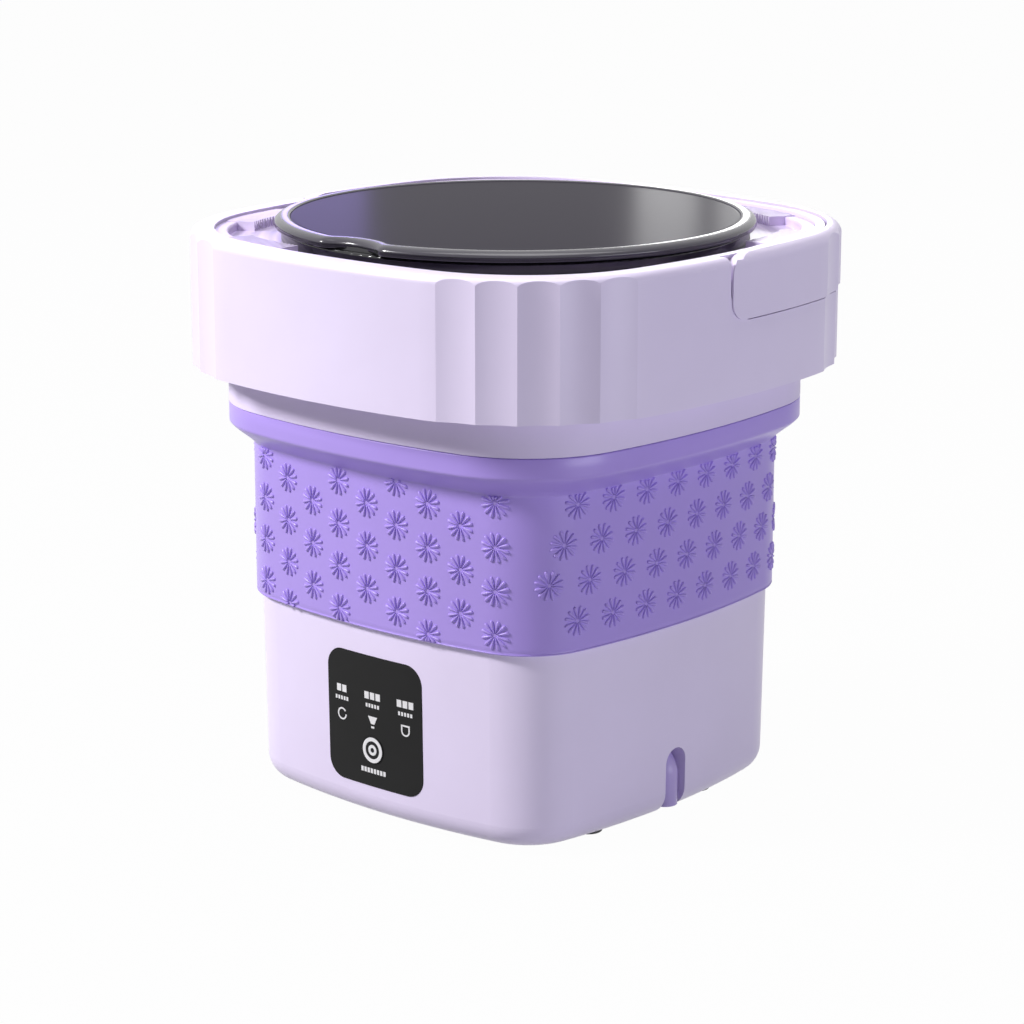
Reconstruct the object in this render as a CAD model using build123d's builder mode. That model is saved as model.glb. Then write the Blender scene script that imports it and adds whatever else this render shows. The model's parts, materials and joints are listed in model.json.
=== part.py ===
"""Portable mini washer: a collapsible bucket on a motor base, in millimetres.

The origin is the middle of the footprint on the floor. +Z is up, -Y faces the control panel
and +X faces the drain channel. The soft wall is open, the lid is on and the handle is stowed.
"""
from build123d import *
import os
from collections import namedtuple
from math import acos, atan2, cos, degrees, radians, sin, sqrt

os.makedirs("parts", exist_ok=True)

# ---------------------------------------------------------------- driving dimensions
# A plan outline is a square with bowed sides: half its width, its corner and side radii.
Outline = namedtuple("Outline", "half corner_r side_r")

# Base: the hard bucket foot that holds the motor.
base_half = 105.3
base_corner_r = 35.0
base_side_r = 414.0
base_bottom = 2.5            # floor to the underside, the height of the feet
base_top = 99.8
base_draft = 1.4             # how much each side leans in from top to bottom
base_edge_r = 12.0           # rounding round the foot
base_wall = 2.6
base_floor = 4.0

# Soft folding wall and the hard ring above it.
wall_height = 97.8           # from the base's top to the ring's bottom edge
wall_step = 3.1              # how far the soft wall stands out from the base
wall_thick = 2.0
shoulder_step = 13.6         # from the soft wall out to its clamped shoulder
shoulder_height = 10.1
cove_height = 11.0
ring_corner_r = 59.0
ring_side_r = 435.0
ring_wall = 2.4
rim_floor_thick = 2.4        # the plate that closes the rim from below
ring_show = 18.8             # height of the ring that shows under the rim

# Rim, deck and handle.
rim_overhang = 20.0
rim_corner_r = 88.0
rim_side_r = 422.0
rim_height = 66.4
rim_wall = 3.2
rim_edge_r = 4.0
rim_band = 12.0              # width of the rim's top band
deck_drop = 5.8              # from the rim's top down to the deck
deck_thick = 2.4
flute_count = 5
flute_depth = 1.5
flute_start = 14.0           # degrees round the corner arc where the first flute begins
flute_sweep = 12.4           # degrees of corner arc that one flute takes
handle_height = 30.2
handle_depth = 6.2
handle_proud = 1.0
handle_play = 1.2            # room behind the handle for its swing
handle_corner_r = 9.0
pivot_back = 4.6             # the handle's pivot, measured back from the middle
pin_r = 3.0

# Lid and mouth.
lid_margin = 12.2            # deck edge to lid edge
lid_thick = 5.0
mouth_inset = 13.7           # lid edge to the mouth's bore
mouth_height = 5.6
lid_skirt_height = 7.0       # the ring under the lid that centres it in the mouth
lid_skirt_wall = 2.0
lid_skirt_gap = 1.0
notch_length = 42.0
notch_depth = 7.0

# Tub and drive.
tub_gap = 7.7                # room between base wall and tub for the control board
tub_wall = 2.4
tub_floor_top = 60.0
tub_lip = 13.0               # height of the collar that carries the soft wall
impeller_gap = 2.2
impeller_height = 24.0
plug_flange_r = 10.0
drain_inset = 18.5
shaft_r = 4.0
bearing_r = 11.0
bearing_height = 7.0
pulley_r = 36.0
motor_pulley_r = 9.0
motor_x = -60.0
motor_r = 18.0
motor_height = 30.0
motor_shaft_r = 2.5
belt_thick = 1.6
belt_width = 4.6

# Drain, panel and inlet.
channel_gap = 1.2            # drain pipe to each side of its channel
channel_top = 36.0
pipe_r = 6.3
pipe_bore_r = 4.8
pipe_bend_r = 8.0
panel_x = 0.8
panel_z = 52.3
panel_width = 62.2
panel_height = 66.5
panel_corner_r = 10.0
panel_thick = 2.4
button_x = 0.2
button_z = 38.0
button_r = 6.9
button_travel = 0.7
inlet_z = 24.0
foot_r = 7.0
foot_inset = 6.1             # cover edge to foot centre
foot_y = 42.0

# Clearances.
fit = 0.05                   # running fit and screw holes
gap = 0.3                    # pieces that only lie next to each other
seam = 0.1                   # pieces that are bonded or clamped

# ---------------------------------------------------------------- worked-out sizes
base_outline = Outline(base_half, base_corner_r, base_side_r)


def grown(outline, by):
    """The outline that runs parallel to this one, further out by the given amount."""
    return Outline(outline.half + by, outline.corner_r + by, outline.side_r + by)


wall_outline = grown(base_outline, wall_step)
ring_outline = Outline(wall_outline.half + shoulder_step, ring_corner_r, ring_side_r)
rim_outline = Outline(ring_outline.half + rim_overhang, rim_corner_r, rim_side_r)
deck_outline = grown(rim_outline, -rim_band)
pocket_outline = grown(rim_outline, handle_proud - handle_depth - handle_proud - handle_play)
tub_outline = grown(base_outline, -base_wall - tub_gap)
tub_inner = grown(tub_outline, -tub_wall)

wall_bottom = base_top + gap
ring_bottom = base_top + wall_height
rim_bottom = ring_bottom + ring_show
rim_top = rim_bottom + rim_height
deck_top = rim_top - deck_drop
deck_bottom = deck_top - deck_thick
ledge_bottom = deck_bottom - seam - 2.6
mouth_top = deck_top + seam + mouth_height
lid_bottom = mouth_top + 4 * seam
lid_top = lid_bottom + lid_thick
lid_r = deck_outline.half - lid_margin
mouth_r = lid_r - mouth_inset
handle_top = rim_top + handle_proud
pivot_z = handle_top - handle_height / 2 - 0.4
handle_bottom = handle_top - handle_height - 0.5
pocket_r = pivot_z - handle_bottom + 0.8
drain_x = tub_inner.half - drain_inset
tub_floor_bottom = tub_floor_top - tub_wall
impeller_r = drain_x - plug_flange_r - 6.0
impeller_bottom = tub_floor_top + impeller_gap
channel_width = 2 * (pipe_r + channel_gap)
pipe_x = base_half - base_draft / 2 - pipe_r - 0.9
channel_depth_x = pipe_x - pipe_r - 0.7
panel_face = base_half - base_draft * (base_top - button_z) / (base_top - base_bottom)
board_front = panel_face - 5.0
board_thick = 1.6
cover_outline = grown(base_outline, -15.4)
foot_spots = [(sx * (cover_outline.half - foot_inset), sy * foot_y) for sx in (-1, 1)
              for sy in (-1, 1)]


# ---------------------------------------------------------------- shared shapes
def corner_centre(outline):
    """Distance from each axis to a corner arc's centre, where it meets the side arcs smoothly."""
    drop = outline.side_r - outline.half
    reach = outline.side_r - outline.corner_r
    return (sqrt(2 * reach**2 - drop**2) - drop) / 2


def face_at(outline, across):
    """How far the outline's side lies from the middle, at a distance along that side."""
    return outline.half - outline.side_r + sqrt(outline.side_r**2 - across**2)


def trace(outline, dip=0.0):
    """Draw the outline: four side arcs and four corners, fluted where a dip is given."""
    centre = corner_centre(outline)
    tilt = degrees(atan2(centre, centre + outline.side_r - outline.half))
    stops = [tilt, 90 - tilt]
    if dip:
        stops[1:1] = [flute_start + step * flute_sweep for step in range(flute_count + 1)]

    def spot(angle, reach, quarter):
        point = Vector(centre + reach * cos(radians(angle)), centre + reach * sin(radians(angle)))
        return point.rotate(Axis.Z, 90 * quarter)

    for quarter in range(4):
        for low, high in zip(stops, stops[1:]):
            inner = dip if flute_start <= low < 90 - flute_start - 1 and dip else 0.0
            middle = spot((low + high) / 2, outline.corner_r - inner, quarter)
            ThreePointArc(spot(low, outline.corner_r, quarter), middle,
                          spot(high, outline.corner_r, quarter))
        side_middle = Vector(0, outline.half).rotate(Axis.Z, 90 * quarter)
        ThreePointArc(spot(90 - tilt, outline.corner_r, quarter), side_middle,
                      spot(tilt, outline.corner_r, quarter + 1))


def slab(outline, low, high, inner=None, dip=0.0, mode=Mode.ADD):
    """Extrude an outline, or the band between it and an inner one, from low to high."""
    with BuildSketch(Plane.XY.offset(low)) as plan:
        with BuildLine():
            trace(outline, dip)
        make_face()
        if inner:
            with BuildLine():
                trace(inner)
            make_face(mode=Mode.SUBTRACT)
    extrude(plan.sketch, amount=high - low, mode=mode)


def drum(radius, low, high, bore=0.0, spots=((0, 0),), mode=Mode.ADD):
    """Upright round bars or tubes at the given places."""
    bar(Plane.XY.offset(low), radius, high - low, bore, spots, mode)


def bar(plane, radius, length, bore=0.0, spots=((0, 0),), mode=Mode.ADD):
    """Round bars or tubes that stand on the given plane."""
    with BuildSketch(plane) as section:
        with Locations(*spots):
            Circle(radius)
            if bore:
                Circle(bore, mode=Mode.SUBTRACT)
    extrude(section.sketch, amount=length, mode=mode)


def finish(piece, name):
    """Label a finished sub-part and write it."""
    piece.label = name
    export_step(piece, f"parts/{name}.step")


def base_form(by, low, high, edge_r):
    """The drafted base solid, grown outwards by an amount, with a rounded foot."""
    with BuildPart() as form:
        for height in (low, high):
            lean = base_draft * (base_top - height) / (base_top - base_bottom)
            with BuildSketch(Plane.XY.offset(height)):
                with BuildLine():
                    trace(grown(base_outline, by - lean))
                make_face()
        loft(ruled=True)
        fillet(form.edges().group_by(Axis.Z)[0], edge_r)
    return form.part


def rim_form(by):
    """The rim's outer solid grown by an amount: rounded top edge and fluted corners."""
    outline = grown(rim_outline, by)
    with BuildPart() as form:
        slab(outline, rim_bottom, rim_top + by)
        fillet(form.edges().group_by(Axis.Z)[-1], rim_edge_r + by)
        slab(outline, rim_bottom, rim_top + by, dip=flute_depth, mode=Mode.INTERSECT)
    return form.part


def panel_prism(margin, near, far):
    """A rounded upright block in line with the panel, between two depths on the front."""
    with BuildSketch(Plane.XZ.offset(near)) as front:
        with Locations((panel_x, panel_z)):
            RectangleRounded(panel_width + 2 * margin, panel_height + 2 * margin,
                             panel_corner_r + margin)
    extrude(front.sketch, amount=far - near)


def channel_prism(width, top, near, far, mode=Mode.ADD):
    """An upright slot with a half-round top, cut in from the +X side."""
    spring = top - width / 2
    with BuildSketch(Plane.YZ.offset(near)) as slot:
        with BuildLine():
            Polyline((-width / 2, spring), (-width / 2, 0), (width / 2, 0), (width / 2, spring))
            ThreePointArc((width / 2, spring), (0, top), (-width / 2, spring))
        make_face()
    extrude(slot.sketch, amount=far - near, mode=mode)


def mirrored(x, y):
    """A place and its three mirror images."""
    return [(x, y), (-x, y), (-x, -y), (x, -y)]


# ---------------------------------------------------------------- base
bottom_screw_reach = cover_outline.half - 5.3
bottom_screw_side = 26.0
bottom_screw_spots = mirrored(bottom_screw_reach, bottom_screw_side)
bottom_screw_spots += mirrored(bottom_screw_side, bottom_screw_reach)
cover_top = base_bottom + 2.2
bottom_boss_top = 16.0
inlet_seat = base_half - 2.9
inlet_back = inlet_seat - 3.4
board_screw_reach = 1.6
foot_barb_r = 3.8
board_screw_spots = [(panel_x + sx * 26.0, panel_z + sz * 24.0) for sx in (-1, 1) for sz in (-1, 1)]
far_out = base_half + 30
front_wall_back = panel_face - panel_thick - 2.4

with BuildPart() as base_cavity:
    add(base_form(-base_wall, base_bottom + base_floor, base_top + 1, base_edge_r - base_wall))
    with BuildSketch(Plane.XZ.offset(front_wall_back)):
        with Locations((panel_x, panel_z)):
            Rectangle(panel_width + 8, panel_height + 8)
    extrude(amount=base_half, mode=Mode.SUBTRACT)
    channel_prism(channel_width + 4.4, channel_top + 2.2, channel_depth_x - 2.2, far_out,
                  mode=Mode.SUBTRACT)
    bar(Plane.XZ.offset(-inlet_back), 12.0, -far_out, spots=[(0, inlet_z)], mode=Mode.SUBTRACT)
    drum(4.2, 0, bottom_boss_top, spots=bottom_screw_spots, mode=Mode.SUBTRACT)

with BuildPart() as panel_pocket:
    panel_prism(0, base_half - 20, far_out)
    add(base_form(-panel_thick, base_bottom, base_top + 1, base_edge_r), mode=Mode.SUBTRACT)

with BuildPart() as panel_window:
    panel_prism(-7.0, base_half - 20, far_out)

with BuildPart() as base_housing:
    add(base_form(0, base_bottom, base_top, base_edge_r))
    add(base_cavity.part, mode=Mode.SUBTRACT)
    channel_prism(channel_width, channel_top, channel_depth_x, far_out, mode=Mode.SUBTRACT)
    bar(Plane.YZ, pipe_r + gap, pipe_x, spots=[(0, channel_top - pipe_r - gap)],
        mode=Mode.SUBTRACT)
    add(panel_pocket.part, mode=Mode.SUBTRACT)
    add(panel_window.part, mode=Mode.SUBTRACT)
    bar(Plane.XZ.offset(-inlet_seat), 8.4, -20, spots=[(0, inlet_z)], mode=Mode.SUBTRACT)
    bar(Plane.XZ, 5.6, -far_out, spots=[(0, inlet_z)], mode=Mode.SUBTRACT)
    slab(cover_outline, 0, cover_top + seam, mode=Mode.SUBTRACT)
    slab(grown(cover_outline, -10.5), 0, base_bottom + base_floor + 1, mode=Mode.SUBTRACT)
    drum(4.2, cover_top + seam, bottom_boss_top - 1, spots=bottom_screw_spots)
    drum(1.5, 0, bottom_boss_top - 3, spots=bottom_screw_spots, mode=Mode.SUBTRACT)
    drum(foot_barb_r + gap, 0, base_bottom + base_floor + 1, spots=foot_spots, mode=Mode.SUBTRACT)
    bar(Plane.XZ.offset(board_front), 1.0 + fit, board_screw_reach, spots=board_screw_spots,
        mode=Mode.SUBTRACT)
finish(base_housing.part, "base_housing")

with BuildPart() as bottom_cover:
    slab(grown(cover_outline, -gap), base_bottom, cover_top)
    drum(1.5 + fit, 0, cover_top + 1, spots=bottom_screw_spots, mode=Mode.SUBTRACT)
    drum(3.0 + seam, 0, cover_top + 1, spots=foot_spots, mode=Mode.SUBTRACT)
    for row in range(-2, 3):
        with BuildSketch(Plane.XY.offset(base_bottom)):
            with Locations((motor_x, row * 7.0)):
                SlotOverall(26, 3)
        extrude(amount=cover_top, mode=Mode.SUBTRACT)
finish(bottom_cover.part, "bottom_cover")

with BuildPart() as rubber_feet:
    drum(foot_r, 0, base_bottom - seam, spots=foot_spots)
    drum(3.0, base_bottom - seam, cover_top + seam, spots=foot_spots)
    drum(foot_barb_r, cover_top + seam, cover_top + 1.6, spots=foot_spots)
    fillet(rubber_feet.edges().group_by(Axis.Z)[0], 0.8)
finish(rubber_feet.part, "rubber_feet")

with BuildPart() as bottom_screws:
    drum(2.8, 0.9, base_bottom, spots=bottom_screw_spots)
    drum(1.5 - fit, base_bottom, bottom_boss_top - 4, spots=bottom_screw_spots)
finish(bottom_screws.part, "bottom_screws")

# ---------------------------------------------------------------- tub
lip_outline = grown(wall_outline, -wall_thick - gap)
tub_lip_top = base_top + seam + tub_lip
tub_flange_top = base_top + seam + 2.6
bearing_screw_spots = [(24 * cos(radians(a)), 24 * sin(radians(a))) for a in (45, 135, 225, 315)]
bracket_screw_spots = [(motor_x + 12, 19), (motor_x + 12, -19), (motor_x - 12, 19),
                       (motor_x - 12, -19)]
bracket_top = tub_floor_bottom - 3.6

with BuildPart() as tub_hollow:
    slab(tub_inner, tub_floor_top, tub_lip_top + 1)
    fillet(tub_hollow.edges().group_by(Axis.Z)[0], 7.0)

with BuildPart() as tub:
    slab(tub_outline, tub_floor_bottom, tub_flange_top)
    fillet(tub.edges().group_by(Axis.Z)[0], 7.0 + tub_wall)
    slab(lip_outline, base_top + seam, tub_lip_top)
    add(tub_hollow.part, mode=Mode.SUBTRACT)
    slab(grown(lip_outline, -tub_wall), tub_flange_top, tub_lip_top + 1, mode=Mode.SUBTRACT)
    drum(3.2, bracket_top + seam, tub_floor_bottom, spots=bracket_screw_spots)
    drum(1.25, bracket_top - 1, tub_floor_top - 1.4, spots=bracket_screw_spots,
         mode=Mode.SUBTRACT)
    drum(3.2, tub_floor_bottom - 0.6, tub_floor_top + 1.2, spots=bearing_screw_spots)
    drum(1.25, 0, tub_floor_top, spots=bearing_screw_spots, mode=Mode.SUBTRACT)
    drum(bearing_r + gap, 0, tub_floor_top + 1, mode=Mode.SUBTRACT)
    drum(5.5, 0, tub_floor_top + 1, spots=[(drain_x, 0)], mode=Mode.SUBTRACT)
finish(tub.part, "tub")

housing_top = tub_floor_bottom - 0.7
housing_bottom = 30.0
seal_bottom = housing_top - 3.2
upper_bearing = seal_bottom - bearing_height
with BuildPart() as bearing_housing:
    drum(30.0, housing_top - 3.0, housing_top)
    drum(bearing_r + 4.0, housing_bottom, housing_top)
    drum(bearing_r, housing_bottom - 1, housing_bottom + bearing_height, mode=Mode.SUBTRACT)
    drum(9.0, housing_bottom, housing_top, mode=Mode.SUBTRACT)
    drum(bearing_r, upper_bearing, housing_top + 1, mode=Mode.SUBTRACT)
    drum(1.25 + fit, 0, housing_top + 1, spots=bearing_screw_spots, mode=Mode.SUBTRACT)
    for turn in range(4):
        with BuildSketch(Plane.XZ.rotated((0, 0, 90 * turn))) as rib_outline:
            with BuildLine():
                Polyline((14.5, housing_bottom + 4), (28, housing_top - 3.5),
                         (28, housing_top - 2), (14.5, housing_top - 2),
                         (14.5, housing_bottom + 4))
            make_face()
        extrude(amount=1.2, both=True)
finish(bearing_housing.part, "bearing_housing")

with BuildPart() as bearing_screws:
    drum(2.5, housing_top - 5.0, housing_top - 3.0, spots=bearing_screw_spots)
    drum(1.2, housing_top - 3.0, tub_floor_top - 0.5, spots=bearing_screw_spots)
finish(bearing_screws.part, "bearing_screws")

with BuildPart() as shaft_bearings:
    for bearing_low in (housing_bottom, upper_bearing):
        drum(bearing_r - fit, bearing_low, bearing_low + bearing_height, bore=shaft_r + fit)
finish(shaft_bearings.part, "shaft_bearings")

with BuildPart() as shaft_seal:
    drum(bearing_r - fit, seal_bottom + seam, tub_floor_top + 0.8, bore=shaft_r + fit)
finish(shaft_seal.part, "shaft_seal")

# ---------------------------------------------------------------- impeller drive
shaft_bottom = 7.0
shaft_top = impeller_bottom + 16.0
pulley_bottom = 11.0
pulley_top = pulley_bottom + belt_width + 3.4
groove_low = pulley_bottom + 1.4
groove_high = groove_low + belt_width + 0.6
with BuildPart() as impeller_shaft:
    drum(shaft_r, shaft_bottom, shaft_top)
    drum(2.1, shaft_top - 9, shaft_top + 1, mode=Mode.SUBTRACT)
    drum(shaft_r + 1.6, housing_bottom - 1.4, housing_bottom - 0.4)
finish(impeller_shaft.part, "impeller_shaft")

hub_top = impeller_bottom + impeller_height
with BuildPart() as impeller:
    with BuildSketch(Plane.XZ):
        with BuildLine():
            Polyline((0, impeller_bottom), (impeller_r, impeller_bottom))
            Line((impeller_r, impeller_bottom), (impeller_r, impeller_bottom + 2.5))
            Spline((impeller_r, impeller_bottom + 2.5), (impeller_r * 0.55, impeller_bottom + 5.5),
                   (impeller_r * 0.24, impeller_bottom + 15), (0, hub_top))
            Line((0, hub_top), (0, impeller_bottom))
        make_face()
    revolve(axis=Axis.Z)
    for vane in range(6):
        with BuildSketch(Plane.XZ.rotated((0, 0, 60 * vane))):
            with BuildLine():
                Polyline((8, impeller_bottom + 1), (impeller_r - 2, impeller_bottom + 1),
                         (impeller_r - 3, impeller_bottom + 8), (24, impeller_bottom + 15),
                         (8, impeller_bottom + 19), (8, impeller_bottom + 1))
            make_face()
        extrude(amount=2.2, both=True, taper=4)
    drum(shaft_r + fit / 5, impeller_bottom - 1, shaft_top + 0.2, mode=Mode.SUBTRACT)
    drum(2.6, impeller_bottom, hub_top, mode=Mode.SUBTRACT)
    drum(5.4, shaft_top + 3, hub_top + 1, mode=Mode.SUBTRACT)
finish(impeller.part, "impeller")

with BuildPart() as impeller_screw:
    drum(2.1 - fit, shaft_top - 8, shaft_top + 3)
    drum(5.0, shaft_top + 3, shaft_top + 5.6)
    fillet(impeller_screw.edges().group_by(Axis.Z)[-1], 0.8)
finish(impeller_screw.part, "impeller_screw")

with BuildPart() as impeller_pulley:
    drum(pulley_r + 2.5, pulley_bottom, pulley_top)
    drum(pulley_r + 3.5, groove_low, groove_high, bore=pulley_r, mode=Mode.SUBTRACT)
    drum(9.0, pulley_bottom, housing_bottom - 6)
    drum(shaft_r + fit / 5, 0, housing_bottom, mode=Mode.SUBTRACT)
    drum(6.0, 0, pulley_top + 1, spots=[(21 * cos(radians(a)), 21 * sin(radians(a)))
                                        for a in range(0, 360, 60)], mode=Mode.SUBTRACT)
finish(impeller_pulley.part, "impeller_pulley")

with BuildPart() as pulley_nut:
    with BuildSketch(Plane.XY.offset(shaft_bottom + 0.6)):
        RegularPolygon(6.5, 6)
        Circle(shaft_r + fit / 5, mode=Mode.SUBTRACT)
    extrude(amount=pulley_bottom - shaft_bottom - 0.6)
finish(pulley_nut.part, "pulley_nut")

# ---------------------------------------------------------------- motor
motor_top = bracket_top - 1.6
motor_bottom = motor_top - motor_height
motor_spot = [(motor_x, 0)]
motor_screw_spots = [(motor_x, 10.0), (motor_x, -10.0)]
with BuildPart() as motor_bracket:
    with BuildSketch(Plane.XY.offset(motor_top)):
        with Locations((motor_x, 0)):
            RectangleRounded(36, 50, 6)
            Circle(5.0, mode=Mode.SUBTRACT)
    extrude(amount=1.6)
    drum(1.25 + fit, motor_top - 1, bracket_top + 1, spots=bracket_screw_spots + motor_screw_spots,
         mode=Mode.SUBTRACT)
finish(motor_bracket.part, "motor_bracket")

with BuildPart() as bracket_screws:
    drum(2.4, motor_top - 1.8, motor_top, spots=bracket_screw_spots)
    drum(1.2, motor_top, tub_floor_top - 2.0, spots=bracket_screw_spots)
finish(bracket_screws.part, "bracket_screws")

with BuildPart() as motor_case:
    drum(motor_r, motor_bottom + 2, motor_top, spots=motor_spot)
    drum(motor_r - 1.5, motor_bottom + 2, motor_top - 1.5, spots=motor_spot, mode=Mode.SUBTRACT)
    drum(motor_shaft_r + fit, 0, motor_top + 1, spots=motor_spot, mode=Mode.SUBTRACT)
    drum(1.25 + fit, motor_top - 2, motor_top + 1, spots=motor_screw_spots, mode=Mode.SUBTRACT)
finish(motor_case.part, "motor_case")

with BuildPart() as motor_end_bell:
    drum(motor_r, motor_bottom, motor_bottom + 2, spots=motor_spot)
    drum(6.0, motor_bottom - 2, motor_bottom, spots=motor_spot)
    drum(motor_shaft_r + fit, 0, motor_top, spots=motor_spot, mode=Mode.SUBTRACT)
finish(motor_end_bell.part, "motor_end_bell")

with BuildPart() as motor_screws:
    drum(2.4, bracket_top, bracket_top + 1.6, spots=motor_screw_spots)
    drum(1.2, motor_top - 1.5, bracket_top, spots=motor_screw_spots)
finish(motor_screws.part, "motor_screws")

with BuildPart() as motor_shaft:
    drum(motor_shaft_r, pulley_bottom - 1, motor_top + 0.8, spots=motor_spot)
finish(motor_shaft.part, "motor_shaft")

with BuildPart() as rotor_core:
    drum(motor_r - 4.0, motor_bottom + 6, motor_top - 6, bore=motor_shaft_r, spots=motor_spot)
    with Locations((motor_x, 0, 0)):
        with PolarLocations(motor_r - 4.7, 7):
            Box(3.6, 1.6, 400, mode=Mode.SUBTRACT)
finish(rotor_core.part, "rotor_core")

with BuildPart() as motor_pulley:
    drum(motor_pulley_r + 2.2, pulley_bottom, pulley_top, bore=motor_shaft_r, spots=motor_spot)
    drum(motor_pulley_r + 3.2, groove_low, groove_high, bore=motor_pulley_r, spots=motor_spot,
         mode=Mode.SUBTRACT)
finish(motor_pulley.part, "motor_pulley")


def belt_face(big_r, small_r, mode=Mode.ADD):
    """The region inside a belt that wraps the two pulleys."""
    lean = acos((big_r - small_r) / -motor_x)
    big = [(-big_r * cos(lean), side * big_r * sin(lean)) for side in (1, -1)]
    small = [(motor_x - small_r * cos(lean), side * small_r * sin(lean)) for side in (1, -1)]
    with BuildLine() as loop:
        Line(big[0], small[0])
        ThreePointArc(small[0], (motor_x - small_r, 0), small[1])
        Line(small[1], big[1])
        ThreePointArc(big[1], (big_r, 0), big[0])
    make_face(loop.edges(), mode=mode)


with BuildPart() as drive_belt:
    with BuildSketch(Plane.XY.offset(groove_low + gap)):
        belt_face(pulley_r + gap + belt_thick, motor_pulley_r + gap + belt_thick)
        belt_face(pulley_r + gap, motor_pulley_r + gap, mode=Mode.SUBTRACT)
    extrude(amount=belt_width)
finish(drive_belt.part, "drive_belt")

# ---------------------------------------------------------------- drain
pipe_level = channel_top - pipe_r - gap
pipe_flange_top = tub_floor_bottom - seam
with BuildPart() as drain_pipe:
    with BuildLine() as pipe_path:
        FilletPolyline((pipe_x, 0, base_bottom + 3.5), (pipe_x, 0, pipe_level),
                       (drain_x, 0, pipe_level), (drain_x, 0, pipe_flange_top),
                       radius=pipe_bend_r)
    with BuildSketch(Plane(origin=pipe_path.line @ 0, z_dir=pipe_path.line % 0)):
        Circle(pipe_r)
        Circle(pipe_bore_r, mode=Mode.SUBTRACT)
    sweep()
    drum(11.0, pipe_flange_top - 2.4, pipe_flange_top, bore=pipe_bore_r, spots=[(drain_x, 0)])
finish(drain_pipe.part, "drain_pipe")

with BuildPart() as drain_plug:
    drum(plug_flange_r, tub_floor_top + seam, tub_floor_top + 2.4, spots=[(drain_x, 0)])
    drum(pipe_bore_r - gap, tub_floor_bottom - 4, tub_floor_top + 2, spots=[(drain_x, 0)])
    drum(2.2, tub_floor_top + 2, tub_floor_top + 4.5, spots=[(drain_x, 0)])
    with BuildSketch(Plane.XZ):
        with Locations((drain_x, tub_floor_top + 9)):
            Circle(5.2)
            Circle(3.4, mode=Mode.SUBTRACT)
    extrude(amount=1.3, both=True)
finish(drain_plug.part, "drain_plug")

# ---------------------------------------------------------------- control panel
panel_back = panel_face - panel_thick
with BuildPart() as control_panel:
    panel_prism(-0.15, base_half - 20, far_out)
    add(base_form(0.3, base_bottom, base_top + 1, base_edge_r), mode=Mode.INTERSECT)
    add(base_form(-panel_thick + seam, base_bottom, base_top + 1, base_edge_r), mode=Mode.SUBTRACT)
    bar(Plane.XZ, button_r + 0.25, far_out, spots=[(button_x, button_z)], mode=Mode.SUBTRACT)
finish(control_panel.part, "control_panel")

with BuildPart() as power_button:
    bar(Plane.XZ.offset(panel_back - 0.3), button_r, panel_thick + 1.0,
        spots=[(button_x, button_z)])
    fillet(power_button.edges().group_by(Axis.Y)[0], 0.5)
    bar(Plane.XZ.offset(panel_back - 1.3), button_r + 1.6, 1.0, spots=[(button_x, button_z)])
finish(power_button.part, "power_button")

with BuildPart() as control_board:
    with BuildSketch(Plane.XZ.offset(board_front - board_thick)):
        with Locations((panel_x, panel_z)):
            Rectangle(58, 56)
        with Locations(*board_screw_spots):
            Circle(1.1 + fit, mode=Mode.SUBTRACT)
    extrude(amount=board_thick)
    for chip_x, chip_z, chip_w, chip_h in ((-14, 34, 12, 12), (10, 32, 8, 5), (22, 40, 5, 8)):
        with BuildSketch(Plane.XZ.offset(board_front - board_thick - 1.5)):
            with Locations((chip_x, chip_z)):
                Rectangle(chip_w, chip_h)
        extrude(amount=1.5)
finish(control_board.part, "control_board")

with BuildPart() as board_screws:
    bar(Plane.XZ.offset(board_front - board_thick - 1.2), 2.0, 1.2, spots=board_screw_spots)
    bar(Plane.XZ.offset(board_front - board_thick), 1.0, board_thick + board_screw_reach - seam,
        spots=board_screw_spots)
finish(board_screws.part, "board_screws")

led_spots = [(panel_x - 20.8 + column * 21.0, row) for column in range(3)
             for row in (panel_z, panel_z + 12.5)]
with BuildPart() as display_leds:
    with BuildSketch(Plane.XZ.offset(board_front)):
        with Locations(*led_spots):
            Rectangle(5.0, 2.4)
    extrude(amount=1.2)
finish(display_leds.part, "display_leds")

switch_top = panel_back - 1.3 - button_travel - 0.1
with BuildPart() as tact_switch:
    with BuildSketch(Plane.XZ.offset(board_front)):
        with Locations((button_x, button_z)):
            Rectangle(6, 6)
    extrude(amount=(switch_top - board_front) * 0.6)
    bar(Plane.XZ.offset(board_front), 1.7, switch_top - board_front,
        spots=[(button_x, button_z)])
finish(tact_switch.part, "tact_switch")

# ---------------------------------------------------------------- power inlet and leads
inlet_spot = [(0, inlet_z)]
with BuildPart() as dc_inlet:
    bar(Plane.XZ.offset(-inlet_seat - 1.6), 8.0, 1.6 - seam, bore=2.8, spots=inlet_spot)
    bar(Plane.XZ.offset(-inlet_seat - 1.0), 5.4, 15.0, bore=2.8, spots=inlet_spot)
    bar(Plane.XZ.offset(-inlet_seat + 11.0), 5.4, 3.0, spots=inlet_spot)
    bar(Plane.XZ.offset(-inlet_seat), 1.0, 12.0, spots=inlet_spot)
finish(dc_inlet.part, "dc_inlet")

with BuildPart() as inlet_nut:
    with BuildSketch(Plane.XZ.offset(-inlet_back + seam)):
        with Locations((0, inlet_z)):
            RegularPolygon(8.5, 6)
            Circle(5.4 + fit, mode=Mode.SUBTRACT)
    extrude(amount=2.4)
finish(inlet_nut.part, "inlet_nut")

lead_r = 1.5
board_back = board_front - board_thick


def lead(points, bends, name):
    """An inner two-core lead as one plain tube."""
    with BuildPart() as cable:
        with BuildLine() as route:
            FilletPolyline(*points, radius=bends)
        with BuildSketch(Plane(origin=route.line @ 0, z_dir=route.line % 0)):
            Circle(lead_r)
        sweep()
    finish(cable.part, name)


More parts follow.
